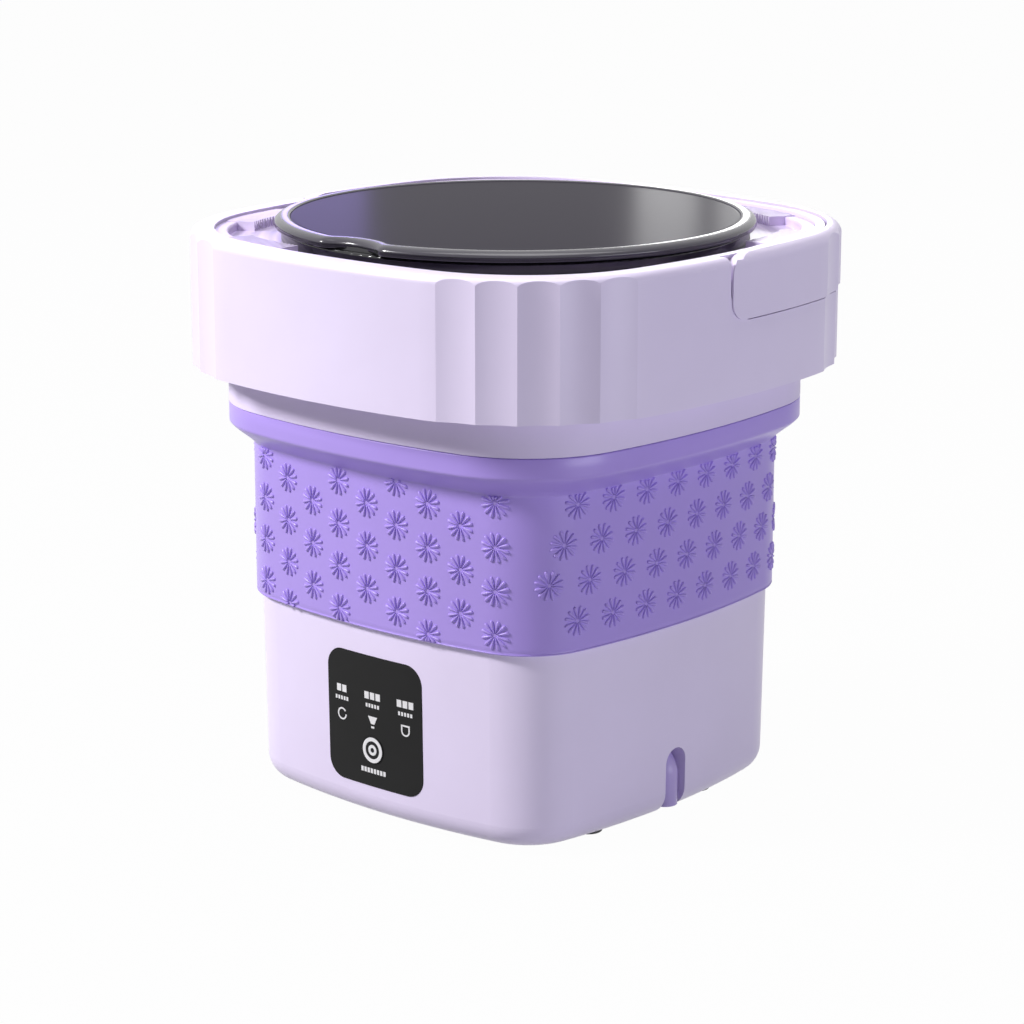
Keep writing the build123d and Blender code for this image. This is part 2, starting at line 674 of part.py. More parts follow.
lead([(0, inlet_seat - 14.2, inlet_z), (0, inlet_seat - 26, inlet_z), (50, 56, inlet_z + 5),
      (58, 0, inlet_z + 6), (44, -62, inlet_z + 8), (18, -board_back + 22, inlet_z + 18),
      (18, -board_back + seam, inlet_z + 18)], 8, "inlet_lead")
lead([(motor_x, -motor_r - seam, motor_bottom + 12), (motor_x, -44, motor_bottom + 12),
      (-42, -72, motor_bottom + 12), (-25, -board_back + 14, motor_bottom + 14),
      (-25, -board_back + seam, motor_bottom + 14)], 5, "motor_lead")

# ---------------------------------------------------------------- soft folding wall
shoulder_low = ring_bottom - shoulder_height
cove_low = shoulder_low - cove_height
lip_inside = grown(ring_outline, -ring_wall - gap)
with BuildPart() as wall_outer:
    for height, outline in ((cove_low, wall_outline), (shoulder_low, ring_outline)):
        with BuildSketch(Plane.XY.offset(height)):
            with BuildLine():
                trace(outline)
            make_face()
    loft(ruled=True)
    slab(wall_outline, wall_bottom, cove_low)
    slab(ring_outline, shoulder_low, ring_bottom - gap)
    slab(lip_inside, ring_bottom - gap, ring_bottom + 8.0)
with BuildPart() as wall_inner:
    for height, outline in ((cove_low + 0.6, wall_outline), (shoulder_low + 0.6, lip_inside)):
        with BuildSketch(Plane.XY.offset(height)):
            with BuildLine():
                trace(grown(outline, -wall_thick))
            make_face()
    loft(ruled=True)
    slab(grown(wall_outline, -wall_thick), wall_bottom - 1, cove_low + 0.6)
    slab(grown(lip_inside, -wall_thick), shoulder_low + 0.6, ring_bottom + 9.0)
with BuildPart() as folding_wall:
    add(wall_outer.part)
    add(wall_inner.part, mode=Mode.SUBTRACT)
finish(folding_wall.part, "folding_wall")

# ---------------------------------------------------------------- upper ring and clamp
ring_inner = grown(ring_outline, -ring_wall)
ring_floor = rim_bottom + 2.2
rim_boss_reach = face_at(grown(rim_outline, -rim_wall), 35.0) - 4.0
ring_screw_spots = mirrored(rim_boss_reach, 35.0) + mirrored(35.0, rim_boss_reach)
with BuildPart() as upper_ring:
    slab(ring_outline, ring_bottom, ledge_bottom - gap, inner=ring_inner)
finish(upper_ring.part, "upper_ring")

with BuildPart() as rim_floor:
    slab(grown(rim_outline, -rim_wall - gap), ring_floor, ring_floor + rim_floor_thick,
         inner=grown(ring_outline, fit))
    drum(1.5 + fit, 0, ring_floor + 5, spots=ring_screw_spots, mode=Mode.SUBTRACT)
finish(rim_floor.part, "rim_floor")

clamp_outline = grown(lip_inside, -wall_thick - gap)
with BuildPart() as wall_clamp_ring:
    slab(clamp_outline, ring_bottom - 2.0, ring_bottom + 12.0, inner=grown(clamp_outline, -2.4))
    slab(grown(ring_inner, -seam), ring_bottom + 9.6, ring_bottom + 12.0,
         inner=grown(clamp_outline, -2.4))
finish(wall_clamp_ring.part, "wall_clamp_ring")

# ---------------------------------------------------------------- rim
pivot_wall_back = grown(pocket_outline, -2.6)
cavity_split = pivot_z - pocket_r - 3.2
ledge_inner = grown(deck_outline, -6.0)
boss_face = face_at(pivot_wall_back, pivot_back)


def beyond_pivot(reach, low, square_front, mode=Mode.INTERSECT):
    """Keep or cut what lies behind the pivot or within reach of it, seen from the side."""
    top = handle_top + 10
    front = pivot_back - reach
    with BuildSketch(Plane.YZ.offset(-far_side)) as side_view:
        with Locations((pivot_back, pivot_z)):
            Circle(reach)
        with BuildLine():
            Polyline((pivot_back, low), (far_side, low), (far_side, top), (pivot_back, top),
                     (pivot_back, low))
        make_face()
        if square_front:
            with BuildLine():
                Polyline((front, pivot_z), (pivot_back, pivot_z), (pivot_back, top), (front, top),
                         (front, pivot_z))
            make_face()
    extrude(side_view.sketch, amount=2 * far_side, mode=mode)


far_side = rim_outline.half + 20
with BuildPart() as handle_pocket:
    slab(grown(rim_outline, 5), rim_bottom, rim_top + 5, inner=pocket_outline)
    beyond_pivot(pocket_r, pivot_z - pocket_r, True)

with BuildPart() as rim_shell:
    add(rim_form(0))
    slab(grown(rim_outline, -rim_wall), rim_bottom - 1, cavity_split, mode=Mode.SUBTRACT)
    slab(pivot_wall_back, cavity_split - 1, ledge_bottom, mode=Mode.SUBTRACT)
    slab(ledge_inner, ledge_bottom - 1, deck_bottom, mode=Mode.SUBTRACT)
    slab(deck_outline, deck_bottom - seam, rim_top + 1, mode=Mode.SUBTRACT)
    add(handle_pocket.part, mode=Mode.SUBTRACT)
    for side in (-1, 1):
        bar(Plane.YZ.offset(side * (boss_face + 1)), 5.4, -side * 6.0, spots=[(pivot_back, pivot_z)])
        bar(Plane.YZ.offset(side * (boss_face - 5)), pin_r + 1.8 + gap, -side * 6.0,
            spots=[(pivot_back, pivot_z)], mode=Mode.SUBTRACT)
        bar(Plane.YZ.offset(0), pin_r + fit, side * far_side, spots=[(pivot_back, pivot_z)],
            mode=Mode.SUBTRACT)
    drum(4.2, ring_floor + rim_floor_thick + seam, ring_floor + 22, spots=ring_screw_spots)
    drum(1.5 + fit, 0, ring_floor + 18, spots=ring_screw_spots, mode=Mode.SUBTRACT)
finish(rim_shell.part, "rim_shell")

with BuildPart() as ring_screws:
    drum(2.8, ring_floor - 1.8, ring_floor, spots=ring_screw_spots)
    drum(1.5, ring_floor, ring_floor + 16, spots=ring_screw_spots)
finish(ring_screws.part, "ring_screws")

with BuildPart() as top_deck:
    slab(grown(deck_outline, -seam), deck_bottom, deck_top)
    drum(mouth_r + 3.4, deck_bottom - 1, deck_top + 1, mode=Mode.SUBTRACT)
finish(top_deck.part, "top_deck")

# ---------------------------------------------------------------- mouth, lid and seal
with BuildPart() as mouth_ring:
    drum(lid_r - 3.2, deck_top + seam, mouth_top, bore=mouth_r)
    drum(mouth_r + 3.2, ledge_bottom - 5, deck_top + seam, bore=mouth_r)
    fillet(mouth_ring.edges().filter_by(GeomType.CIRCLE).group_by(Axis.Z)[-1].sort_by(
        SortBy.RADIUS)[-1], 1.2)
finish(mouth_ring.part, "mouth_ring")

notch_r = (notch_length**2 / 4 + notch_depth**2) / (2 * notch_depth)
seal_mid = mouth_r + 5.5
with BuildPart() as lid:
    drum(lid_r, lid_bottom, lid_top)
    fillet(lid.edges().group_by(Axis.Z)[-1], 1.8)
    fillet(lid.edges().group_by(Axis.Z)[0], 1.0)
    drum(seal_mid + 2.1, lid_bottom - 1, lid_bottom + 1.4, bore=seal_mid - 2.1, mode=Mode.SUBTRACT)
    drum(notch_r, lid_bottom - 1, lid_top + 1, spots=[(0, -lid_r - notch_r + notch_depth)],
         mode=Mode.SUBTRACT)
finish(lid.part, "lid")

with BuildPart() as lid_skirt:
    drum(mouth_r - lid_skirt_gap, lid_bottom - lid_skirt_height, lid_bottom - fit,
         bore=mouth_r - lid_skirt_gap - lid_skirt_wall)
finish(lid_skirt.part, "lid_skirt")

with BuildPart() as lid_seal:
    drum(seal_mid + 2.0, mouth_top + seam, lid_bottom + 1.3, bore=seal_mid - 2.0)
finish(lid_seal.part, "lid_seal")

# ---------------------------------------------------------------- handle
handle_inner = grown(rim_outline, -handle_depth)
with BuildPart() as handle_core:
    add(rim_form(handle_proud))
    slab(handle_inner, rim_bottom - 1, handle_top + 1, mode=Mode.SUBTRACT)
    beyond_pivot(pocket_r - 0.8, handle_bottom, False)

with BuildPart() as handle_cover:
    add(rim_form(handle_proud))
    slab(grown(rim_outline, 0.25), rim_bottom - 1, handle_top + 1, mode=Mode.SUBTRACT)
    with BuildSketch(Plane.YZ.offset(-far_side)) as cover_side:
        with BuildLine():
            front = pivot_back - pocket_r + 0.8
            FilletPolyline((far_side, handle_top), (front, handle_top), (front, handle_bottom),
                           (far_side, handle_bottom), radius=handle_corner_r)
            Line((far_side, handle_bottom), (far_side, handle_top))
        make_face()
    extrude(amount=2 * far_side, mode=Mode.INTERSECT)

pin_hole = handle_depth - 1.4
pin_face = face_at(handle_inner, pivot_back)
with BuildPart() as carry_handle:
    add(handle_core.part)
    add(handle_cover.part)
    for side in (-1, 1):
        bar(Plane.YZ.offset(side * (pin_face - 1)), pin_r, side * (pin_hole + 1),
            spots=[(pivot_back, pivot_z)], mode=Mode.SUBTRACT)
finish(carry_handle.part, "carry_handle")

with BuildPart() as handle_pins:
    for side in (-1, 1):
        reach = pin_face + pin_hole - boss_face + 5.1
        bar(Plane.YZ.offset(side * (boss_face - 5.2)), pin_r, side * reach,
            spots=[(pivot_back, pivot_z)])
        bar(Plane.YZ.offset(side * (boss_face - 7.2)), pin_r + 1.8, side * 2.0,
            spots=[(pivot_back, pivot_z)])
finish(handle_pins.part, "handle_pins")
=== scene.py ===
"""Looks of the portable mini washer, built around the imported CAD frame, in metres."""
import json
from math import atan2, cos, pi, radians, sin, sqrt, tau

import bpy
import numpy as np
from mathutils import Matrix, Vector

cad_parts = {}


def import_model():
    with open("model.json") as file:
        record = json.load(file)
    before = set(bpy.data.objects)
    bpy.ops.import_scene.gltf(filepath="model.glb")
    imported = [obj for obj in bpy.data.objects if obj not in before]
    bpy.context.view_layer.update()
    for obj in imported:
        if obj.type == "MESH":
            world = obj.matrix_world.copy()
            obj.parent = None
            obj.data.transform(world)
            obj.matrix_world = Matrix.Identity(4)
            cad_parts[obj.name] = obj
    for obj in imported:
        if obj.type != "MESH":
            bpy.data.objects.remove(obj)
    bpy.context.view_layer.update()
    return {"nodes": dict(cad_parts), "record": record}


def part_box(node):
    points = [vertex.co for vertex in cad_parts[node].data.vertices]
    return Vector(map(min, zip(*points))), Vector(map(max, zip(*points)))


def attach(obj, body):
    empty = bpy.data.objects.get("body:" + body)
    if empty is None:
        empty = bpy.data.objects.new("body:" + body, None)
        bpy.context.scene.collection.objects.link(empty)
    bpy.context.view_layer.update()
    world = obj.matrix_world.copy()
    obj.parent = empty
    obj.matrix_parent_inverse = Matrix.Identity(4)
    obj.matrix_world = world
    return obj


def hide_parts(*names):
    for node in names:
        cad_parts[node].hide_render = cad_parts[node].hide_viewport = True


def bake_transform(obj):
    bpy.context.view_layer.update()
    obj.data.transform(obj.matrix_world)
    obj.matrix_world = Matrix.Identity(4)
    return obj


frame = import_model()
nodes = frame["nodes"]
MM = 0.001

# ---------------------------------------------------------------- sizes taken from the frame
wall_low, wall_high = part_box("folding_wall")
base_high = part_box("base_housing")[1]
rim_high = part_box("rim_shell")[1]
lid_low, lid_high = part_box("lid")
deck_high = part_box("top_deck")[1]
ring_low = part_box("upper_ring")[0]
button_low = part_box("power_button")[0]

WALL_STEP = 3.1 * MM            # soft wall beyond the base
SHOULDER_HALF = wall_high.x
WALL_HALF = base_high.x + WALL_STEP
RING_BOTTOM = ring_low.z
SHOULDER_LOW = RING_BOTTOM - 10.1 * MM
COVE_LOW = SHOULDER_LOW - 11.0 * MM
WALL_BOTTOM = wall_low.z
WALL_THICK = 2.0 * MM


# ---------------------------------------------------------------- plan outlines
class Plan:
    """A square with bowed sides and round corners, sampled evenly round its edge."""

    def __init__(self, half, corner_r, side_r):
        self.half, self.corner_r, self.side_r = half, corner_r, side_r
        drop = side_r - half
        reach = side_r - corner_r
        self.centre = (sqrt(2 * reach**2 - drop**2) - drop) / 2
        self.tilt = atan2(self.centre, self.centre + drop)
        self.side_len = 2 * self.tilt * side_r
        self.corner_len = (pi / 2 - 2 * self.tilt) * corner_r
        self.length = 4 * (self.side_len + self.corner_len)

    def at(self, distance):
        """Points and outward normals at distances along the edge, from the -Y side's middle."""
        quarter_len = self.side_len + self.corner_len
        along = np.mod(distance + self.side_len / 2, self.length)
        quarter = np.floor(along / quarter_len)
        rest = along - quarter * quarter_len
        on_side = rest < self.side_len
        lean = (rest - self.side_len / 2) / self.side_r
        turn = self.tilt + (rest - self.side_len) / self.corner_r
        angle = np.where(on_side, lean, turn)
        radius = np.where(on_side, self.side_r, self.corner_r)
        mid_x = np.where(on_side, 0.0, self.centre)
        mid_y = np.where(on_side, -(self.half - self.side_r), -self.centre)
        x = mid_x + radius * np.sin(angle)
        y = mid_y - radius * np.cos(angle)
        nx, ny = np.sin(angle), -np.cos(angle)
        spin = quarter * pi / 2
        c, s = np.cos(spin), np.sin(spin)
        return x * c - y * s, x * s + y * c, nx * c - ny * s, nx * s + ny * c


# Corner and side radii of each outline.
WALL_RADII = (38.1 * MM, 417.1 * MM)
SHOULDER_RADII = (59.0 * MM, 435.0 * MM)
BASE_RADII = (35.0 * MM, 414.0 * MM)
DECK_RADII = (76.0 * MM, 410.0 * MM)
DECK_GAP = 0.15 * MM            # between the deck frame and the deck's edge
wall_plan = Plan(WALL_HALF, *WALL_RADII)
shoulder_plan = Plan(SHOULDER_HALF, *SHOULDER_RADII)
base_plan = Plan(base_high.x, *BASE_RADII)
deck_plan = Plan(deck_high.x - DECK_GAP, *DECK_RADII)


# ---------------------------------------------------------------- materials
def material(name, colour, roughness=0.4, **sockets):
    """A principled material with a named base colour; returns it with its node tree and shader."""
    mat = bpy.data.materials.new(name)
    mat.use_nodes = True
    tree = mat.node_tree
    shader = tree.nodes["Principled BSDF"]
    shader.inputs["Base Color"].default_value = (*colour, 1.0)
    shader.inputs["Roughness"].default_value = roughness
    for socket, value in sockets.items():
        shader.inputs[socket.replace("_", " ")].default_value = value
    return mat, tree, shader


def noise(tree, scale, detail=2.0, stretch=None):
    """A noise texture in object space, optionally stretched."""
    place = tree.nodes.new("ShaderNodeTexCoord")
    texture = tree.nodes.new("ShaderNodeTexNoise")
    texture.inputs["Scale"].default_value = scale
    texture.inputs["Detail"].default_value = detail
    if stretch:
        mapping = tree.nodes.new("ShaderNodeMapping")
        mapping.inputs["Scale"].default_value = stretch
        tree.links.new(place.outputs["Object"], mapping.inputs["Vector"])
        tree.links.new(mapping.outputs["Vector"], texture.inputs["Vector"])
    else:
        tree.links.new(place.outputs["Object"], texture.inputs["Vector"])
    return texture


def tint(tree, shader, source, colour, amount):
    """Vary the base colour a little, lighter and darker, with a texture."""
    ramp = tree.nodes.new("ShaderNodeValToRGB")
    low = [max(0.0, c * (1 - amount)) for c in colour]
    high = [min(1.0, c * (1 + amount)) for c in colour]
    ramp.color_ramp.elements[0].color = (*low, 1.0)
    ramp.color_ramp.elements[1].color = (*high, 1.0)
    ramp.color_ramp.elements[0].position = 0.3
    ramp.color_ramp.elements[1].position = 0.7
    tree.links.new(source.outputs["Fac"], ramp.inputs["Fac"])
    tree.links.new(ramp.outputs["Color"], shader.inputs["Base Color"])


def grain(tree, shader, source, distance, strength=0.5):
    """Fine relief from a texture."""
    bump = tree.nodes.new("ShaderNodeBump")
    bump.inputs["Distance"].default_value = distance
    bump.inputs["Strength"].default_value = strength
    tree.links.new(source.outputs["Fac"], bump.inputs["Height"])
    tree.links.new(bump.outputs["Normal"], shader.inputs["Normal"])


def roughen(tree, shader, source, low, high):
    """Vary the roughness with a texture."""
    spread = tree.nodes.new("ShaderNodeMapRange")
    spread.inputs["To Min"].default_value = low
    spread.inputs["To Max"].default_value = high
    tree.links.new(source.outputs["Fac"], spread.inputs["Value"])
    tree.links.new(spread.outputs["Result"], shader.inputs["Roughness"])


def moulded(name, colour, roughness, spread=0.02, scale=900.0, relief=0.00002):
    """Moulded plastic: a fine grain, slight colour drift and uneven gloss."""
    mat, tree, shader = material(name, colour, roughness)
    tint(tree, shader, noise(tree, 18.0, 3.0), colour, spread)
    grain(tree, shader, noise(tree, scale, 2.0), relief, 0.35)
    roughen(tree, shader, noise(tree, 60.0, 4.0), roughness - 0.05, roughness + 0.05)
    return mat


def metal(name, colour, roughness):
    """Plain machined steel with faint turning marks."""
    mat, tree, shader = material(name, colour, roughness, Metallic=1.0)
    source = noise(tree, 500.0, 2.0, (1.0, 1.0, 12.0))
    roughen(tree, shader, source, roughness - 0.08, roughness + 0.12)
    tint(tree, shader, noise(tree, 80.0), colour, 0.06)
    return mat


SHELL = (0.83, 0.745, 0.955)
PURPLE = (0.43, 0.31, 0.80)
shell = moulded("shell_lavender", SHELL, 0.34)
# The upper ring's colour is set a little darker than the shell's: painted shade for the overhang of the
# rim above it.
ring_painted_shade_mat = moulded("ring_lavender_painted_shade", (0.80, 0.715, 0.93), 0.45)
ring_painted_shade_mat.node_tree.nodes["Principled BSDF"].inputs["Specular IOR Level"].default_value = 0.2


def brushed_round(tree, scale):
    """Noise drawn out into fine rings round the object's upright axis."""
    place = tree.nodes.new("ShaderNodeTexCoord")
    flat = tree.nodes.new("ShaderNodeVectorMath")
    flat.operation = "MULTIPLY"
    flat.inputs[1].default_value = (1, 1, 0)
    reach = tree.nodes.new("ShaderNodeVectorMath")
    reach.operation = "LENGTH"
    texture = tree.nodes.new("ShaderNodeTexNoise")
    texture.noise_dimensions = "1D"
    texture.inputs["Scale"].default_value = scale
    texture.inputs["Detail"].default_value = 4.0
    tree.links.new(place.outputs["Object"], flat.inputs[0])
    tree.links.new(flat.outputs["Vector"], reach.inputs[0])
    tree.links.new(reach.outputs["Value"], texture.inputs["W"])
    return texture


DECK = (0.70, 0.595, 0.93)
deck_mat, deck_tree, deck_shader = material("deck_lavender", DECK, 0.3)
# The brushed rings give the deck real relief through the bump, and they also paint lighter and darker
# sheen streaks into its colour: a painted reflection.
brushed_relief_and_sheen = brushed_round(deck_tree, 220.0)
tint(deck_tree, deck_shader, brushed_relief_and_sheen, DECK, 0.22)
grain(deck_tree, deck_shader, brushed_relief_and_sheen, 0.0002, 0.5)
silicone, silicone_tree, silicone_shader = material("silicone_purple", PURPLE, 0.33)
tint(silicone_tree, silicone_shader, noise(silicone_tree, 14.0, 3.0), PURPLE, 0.03)
grain(silicone_tree, silicone_shader, noise(silicone_tree, 1400.0, 2.0), 0.00003, 0.4)
smoke, smoke_tree, smoke_shader = material("lid_smoke", (0.040, 0.036, 0.048), 0.16)
smoke_shader.inputs["IOR"].default_value = 1.02
grain(smoke_tree, smoke_shader, noise(smoke_tree, 30.0, 2.0), 0.00004, 0.1)
black, black_tree, black_shader = material("black_gloss", (0.008, 0.008, 0.010), 0.12)
grain(black_tree, black_shader, noise(black_tree, 40.0, 2.0), 0.00003, 0.1)
# The bead's colour is a little lighter than the smoked middle: a faint painted light line along the lid's
# edge.
bead, bead_tree, bead_shader = material("lid_bead_painted_highlight", (0.05, 0.046, 0.06), 0.18)
grain(bead_tree, bead_shader, noise(bead_tree, 40.0, 2.0), 0.00003, 0.1)
panel_mat = moulded("panel_black", (0.012, 0.012, 0.012), 0.6, 0.08, 1600.0, 0.00003)
panel_mat.node_tree.nodes["Principled BSDF"].inputs["Specular IOR Level"].default_value = 0.15
print_mat, print_tree, print_shader = material("panel_print", (0.82, 0.82, 0.82), 0.45)
tint(print_tree, print_shader, noise(print_tree, 300.0), (0.82, 0.82, 0.82), 0.04)
inner_mat = moulded("inner_white", (0.80, 0.77, 0.86), 0.35)
pipe_mat = moulded("pipe_lavender", (0.52, 0.42, 0.78), 0.36)
cover_mat = moulded("cover_lavender", (0.66, 0.60, 0.76), 0.5)
rubber_mat = moulded("rubber_dark", (0.03, 0.03, 0.032), 0.6, 0.1, 1500.0, 0.00004)
pulley_mat = moulded("pulley_black", (0.04, 0.04, 0.042), 0.45, 0.08)
board_mat = moulded("board_green", (0.02, 0.13, 0.05), 0.4, 0.15)
led_mat = moulded("led_white", (0.8, 0.8, 0.76), 0.3)
steel = metal("steel", (0.55, 0.55, 0.57), 0.32)

BY_SLOT = {
    "shell_lavender": shell, "deck_lavender": deck_mat, "silicone_purple": silicone,
    "lid_smoke": smoke, "black_gloss": black, "panel_black": panel_mat,
    "inner_white": inner_mat, "pipe_lavender": pipe_mat, "cover_lavender": cover_mat,
    "rubber_dark": rubber_mat, "steel": steel, "pulley_black": pulley_mat,
    "board_green": board_mat, "led_white": led_mat,
}
for part in frame["record"]["subparts"]:
    mesh = nodes[part["node"]].data
    mesh.materials.clear()
    mesh.materials.append(BY_SLOT[part["material_slot"]])
nodes["upper_ring"].data.materials[0] = ring_painted_shade_mat


# ---------------------------------------------------------------- mesh helpers
def piece(name, points, faces, mat, smooth=True):
    """A mesh object from points and faces."""
    mesh = bpy.data.meshes.new(name)
    mesh.from_pydata([tuple(p) for p in points], [], faces)
    mesh.validate()
    mesh.polygons.foreach_set("use_smooth", [smooth] * len(mesh.polygons))
    mesh.materials.append(mat)
    thing = bpy.data.objects.new(name, mesh)
    bpy.context.scene.collection.objects.link(thing)
    return thing


def closed_rows(rows, count):
    """Quads that join rings of equal point counts, one after another and back to the first."""
    faces = []
    for row in range(rows):
        nxt = (row + 1) % rows
        for i in range(count):
            j = (i + 1) % count
            faces.append((row * count + i, row * count + j, nxt * count + j, nxt * count + i))
    return faces


# ---------------------------------------------------------------- soft wall with star bursts
POINT_PITCH = 2.0 * MM          # between points round the wall
ROW_PITCH = 1.6 * MM            # between rows up the outside
INSIDE_PITCH = 3.0 * MM         # between rows down the inside
BOTTOM_EDGE_R = 0.8 * MM
BOTTOM_EDGE_STEPS = 4
COVE_STEPS = 14
COVE_INSIDE_STEPS = 8
COVE_CURVED = 0.28              # share of the cove's section that is curved; the rest is straight
COVE_INSIDE_RISE = 0.6 * MM
SHOULDER_TOP = RING_BOTTOM - 0.3 * MM
LIP_OUTSIDE = 2.7 * MM          # faces of the clamped lip, in from the shoulder
LIP_INSIDE = 4.7 * MM
# Height and reach of the rows over the shoulder, up the lip and down inside it.
SHOULDER_ROWS = (
    (SHOULDER_LOW + 0.8 * MM, 0), (SHOULDER_LOW + 4 * MM, 0), (SHOULDER_TOP - 0.6 * MM, 0),
    (SHOULDER_TOP - 0.15 * MM, -0.2 * MM), (SHOULDER_TOP, -0.7 * MM), (SHOULDER_TOP, -2.6 * MM),
    (wall_high.z, -LIP_OUTSIDE), (wall_high.z, -LIP_INSIDE),
    (SHOULDER_LOW + 0.6 * MM, -LIP_INSIDE),
)


def soft_wall():
    """The silicone wall: outside, cove, shoulder, inner lip and inside, one closed skin."""
    count = 4 * round(wall_plan.length / 4 / POINT_PITCH)
    share = np.arange(count) / count
    rows = []

    def ring_at(plan, height, out=0.0):
        x, y, nx, ny = plan.at(share * plan.length)
        rows.append(np.stack([x + nx * out, y + ny * out, np.full(count, height)], 1))

    def between(step, height, inward):
        """A row part of the way from the wall's outline out to the shoulder's."""
        wx, wy, wnx, wny = wall_plan.at(share * wall_plan.length)
        sx, sy, snx, sny = shoulder_plan.at(share * shoulder_plan.length)
        deep_w, deep_s = inward
        wx, wy = wx - wnx * deep_w, wy - wny * deep_w
        sx, sy = sx - snx * deep_s, sy - sny * deep_s
        rows.append(np.stack([wx + (sx - wx) * step, wy + (sy - wy) * step,
                              np.full(count, height)], 1))

    for step in range(BOTTOM_EDGE_STEPS, -1, -1):
        turn = pi / 2 * step / BOTTOM_EDGE_STEPS
        rise = BOTTOM_EDGE_R * (1 - sin(turn))
        ring_at(wall_plan, WALL_BOTTOM + rise, -BOTTOM_EDGE_R * (1 - cos(turn)))
    rows.reverse()
    for height in np.arange(WALL_BOTTOM + 2 * MM, COVE_LOW - 1.5 * MM, ROW_PITCH):
        ring_at(wall_plan, height)
    ring_at(wall_plan, COVE_LOW - 0.4 * MM)
    cove_height = SHOULDER_LOW - COVE_LOW
    for step in range(COVE_STEPS + 1):
        t = step / COVE_STEPS
        bow = 0.5 - 0.5 * cos(pi * t)
        between((1 - COVE_CURVED) * t + COVE_CURVED * bow, COVE_LOW + cove_height * t, (0, 0))
    for height, out in SHOULDER_ROWS:
        ring_at(shoulder_plan, height, out)
    for step in range(COVE_INSIDE_STEPS - 1, -1, -1):
        t = step / COVE_INSIDE_STEPS
        between(t, COVE_LOW + COVE_INSIDE_RISE + cove_height * t, (WALL_THICK, LIP_INSIDE))
    for height in np.arange(COVE_LOW - 1 * MM, WALL_BOTTOM + 1 * MM, -INSIDE_PITCH):
        ring_at(wall_plan, height, -WALL_THICK)
    ring_at(wall_plan, WALL_BOTTOM, -WALL_THICK)
    wall = piece("soft_wall", np.concatenate(rows), closed_rows(len(rows), count), silicone)
    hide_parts("folding_wall")
    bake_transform(wall)


PETALS = 12
PETAL_FROM, PETAL_TO = 1.0 * MM, 7.3 * MM
PETAL_HIGH = 0.95 * MM
PETAL_STATIONS = np.array([0.0, 0.25, 0.5, 0.72, 0.88, 0.97, 1.0])
PETAL_WIDTHS = np.array([0.16, 0.42, 0.72, 0.95, 0.92, 0.62, 0.18]) * MM
PETAL_HEIGHTS = np.array([0.35, 0.8, 0.95, 1.0, 0.95, 0.7, 0.2]) * PETAL_HIGH
PETAL_ARCH = np.array([[-1.0, -0.35], [-0.84, 0.35], [-0.42, 0.86], [0.0, 1.0], [0.42, 0.86],
                       [0.84, 0.35], [1.0, -0.35]])
BURST_LOW, BURST_HIGH = WALL_BOTTOM + 0.6 * MM, COVE_LOW - 0.2 * MM
LEVEL_RISE = 0.05               # petals nearer to level than this are never cut
SHORTEST_PETAL = 1.6 * MM       # a petal cut shorter than this is left out
CORNER_MARGIN = 4.5 * MM        # bursts keep this far from the middle of each corner
PAST_EDGE = 4.0 * MM            # a burst may be centred this far past the edge that cuts it
LATTICE = range(-8, 9)
# Lattices of burst middles, (along the side, height): the first place and the two steps from it.
FRONT_LATTICE = ((1.2, 141.3), (18.85, -7.9), (0.0, 21.1))
SIDE_LATTICE = ((-6.2, 171.3), (-7.4, -18.6), (22.2, 0.0))


def burst_places():
    """Middles of the bursts: leaning columns on the front and back, leaning rows on the sides."""
    quarter = wall_plan.length / 4
    places = []
    for side in range(4):
        middle = side * quarter
        start, column, row = FRONT_LATTICE if side % 2 == 0 else SIDE_LATTICE
        for i in LATTICE:
            for j in LATTICE:
                u = (start[0] + column[0] * i + row[0] * j) * MM
                z = (start[1] + column[1] * i + row[1] * j) * MM
                on_face = abs(u) < quarter / 2 - CORNER_MARGIN
                if on_face and BURST_LOW - PAST_EDGE < z < BURST_HIGH + PAST_EDGE:
                    places.append((middle + u, z))
    return places


def wall_bursts():
    """Raised star bursts: each petal is a small closed ridge that grows out of the wall."""
    arch = len(PETAL_ARCH)
    points, faces = [], []
    for u0, z0 in burst_places():
        for petal in range(PETALS):
            angle = tau * (petal + 0.5) / PETALS
            along, rise = cos(angle), sin(angle)
            reach = PETAL_TO
            if rise > LEVEL_RISE:
                reach = min(reach, (BURST_HIGH - z0) / rise)
            elif rise < -LEVEL_RISE:
                reach = min(reach, (BURST_LOW - z0) / rise)
            if reach < PETAL_FROM + SHORTEST_PETAL or not BURST_LOW < z0 + rise * PETAL_FROM < BURST_HIGH:
                continue
            start = len(points)
            for share, width, high in zip(PETAL_STATIONS, PETAL_WIDTHS, PETAL_HEIGHTS):
                r = PETAL_FROM + (reach - PETAL_FROM) * share
                for across, up in PETAL_ARCH:
                    points.append((u0 + along * r - rise * across * width,
                                   z0 + rise * r + along * across * width, up * high))
            rings = len(PETAL_STATIONS)
            for ring in range(rings - 1):
                for k in range(arch):
                    n = (k + 1) % arch
                    a, b = start + ring * arch, start + (ring + 1) * arch
                    faces.append((a + k, a + n, b + n, b + k))
            faces.append(tuple(start + k for k in range(arch))[::-1])
            faces.append(tuple(start + (rings - 1) * arch + k for k in range(arch)))
    flat = np.array(points)
    x, y, nx, ny = wall_plan.at(flat[:, 0])
    placed = np.stack([x + nx * flat[:, 2], y + ny * flat[:, 2], flat[:, 1]], 1)
    bursts = piece("wall_bursts", placed, faces, silicone)
    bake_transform(bursts)


soft_wall()
wall_bursts()


# ---------------------------------------------------------------- panel symbols
PRINT_FOOT, PRINT_SKIN = 0.02 * MM, 0.12 * MM   # how far off the face the print starts and ends
PANEL_STANDS = 0.3 * MM                         # the panel's face beyond the base's side
BASE_LEAN = 1.4 / 97.3                          # how much the base's side leans in, per height


